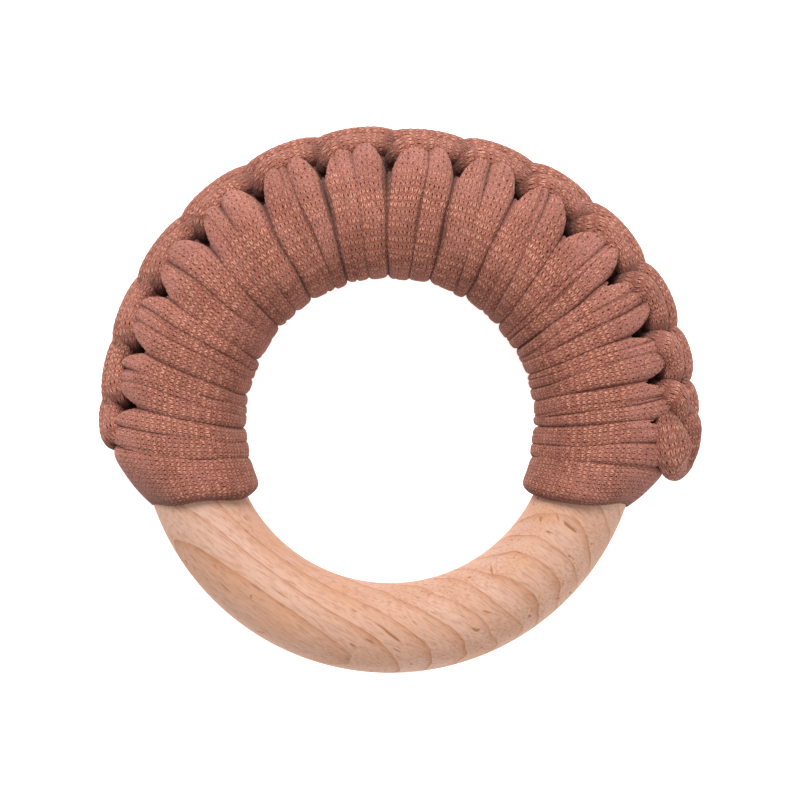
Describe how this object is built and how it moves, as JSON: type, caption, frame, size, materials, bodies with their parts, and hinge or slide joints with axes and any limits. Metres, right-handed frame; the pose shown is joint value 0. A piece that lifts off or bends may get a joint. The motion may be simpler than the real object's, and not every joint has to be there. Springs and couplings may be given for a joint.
{
  "type": "teething ring",
  "caption": "Round wooden ring to hold and chew, with a soft crochet yarn cover over most of it and a bare wooden arc left open.",
  "frame": {"origin": "under the middle of the whole object's box, on the surface it lies on", "axes": "+Z along the ring's axis, up from the surface; the bare wood is towards -Y and the crochet cover towards +Y; +X to the right, where the cover's finishing knot is. The ring's own axis passes 1.4 mm to -X and 3.2 mm to -Y of the origin."},
  "size_m": [0.084, 0.0765, 0.0174],
  "materials": {
    "beech_wood": "raw sanded beech, matte, pale with fine darker grain lines and short flecks",
    "jersey_yarn": "terracotta brown knitted tubular cotton yarn, matte with a soft sheen and a fine knit of small V loops"
  },
  "bodies": {
    "ring": {"wooden_ring": "beech_wood"},
    "cover": {"starting_leg": "jersey_yarn", "stitch_01_wide_leg": "jersey_yarn", "stitch_01_narrow_leg": "jersey_yarn", "stitch_01_chain_loop": "jersey_yarn", "stitch_02_wide_leg": "jersey_yarn", "stitch_02_narrow_leg": "jersey_yarn", "stitch_02_chain_loop": "jersey_yarn", "stitch_03_wide_leg": "jersey_yarn", "stitch_03_narrow_leg": "jersey_yarn", "stitch_03_chain_loop": "jersey_yarn", "stitch_04_wide_leg": "jersey_yarn", "stitch_04_narrow_leg": "jersey_yarn", "stitch_04_chain_loop": "jersey_yarn", "stitch_05_wide_leg": "jersey_yarn", "stitch_05_narrow_leg": "jersey_yarn", "stitch_05_chain_loop": "jersey_yarn", "stitch_06_wide_leg": "jersey_yarn", "stitch_06_narrow_leg": "jersey_yarn", "stitch_06_chain_loop": "jersey_yarn", "stitch_07_wide_leg": "jersey_yarn", "stitch_07_narrow_leg": "jersey_yarn", "stitch_07_chain_loop": "jersey_yarn", "stitch_08_wide_leg": "jersey_yarn", "stitch_08_narrow_leg": "jersey_yarn", "stitch_08_chain_loop": "jersey_yarn", "stitch_09_wide_leg": "jersey_yarn", "stitch_09_narrow_leg": "jersey_yarn", "stitch_09_chain_loop": "jersey_yarn", "stitch_10_wide_leg": "jersey_yarn", "stitch_10_narrow_leg": "jersey_yarn", "stitch_10_chain_loop": "jersey_yarn", "stitch_11_wide_leg": "jersey_yarn", "stitch_11_narrow_leg": "jersey_yarn", "stitch_11_chain_loop": "jersey_yarn", "stitch_12_wide_leg": "jersey_yarn", "stitch_12_narrow_leg": "jersey_yarn", "stitch_12_chain_loop": "jersey_yarn", "stitch_13_wide_leg": "jersey_yarn", "stitch_13_narrow_leg": "jersey_yarn", "stitch_13_chain_loop": "jersey_yarn", "stitch_14_wide_leg": "jersey_yarn", "stitch_14_narrow_leg": "jersey_yarn", "stitch_14_chain_loop": "jersey_yarn", "stitch_15_wide_leg": "jersey_yarn", "stitch_15_narrow_leg": "jersey_yarn", "finishing_leg": "jersey_yarn", "finishing_knot": "jersey_yarn"}
  },
  "joints": [
    {"name": "cover_turn", "type": "hinge", "parent": "ring", "child": "cover", "pos_m": [-0.0014, -0.0032, 0.0087], "axis": [0, 0, 1], "continuous": true}
  ]
}
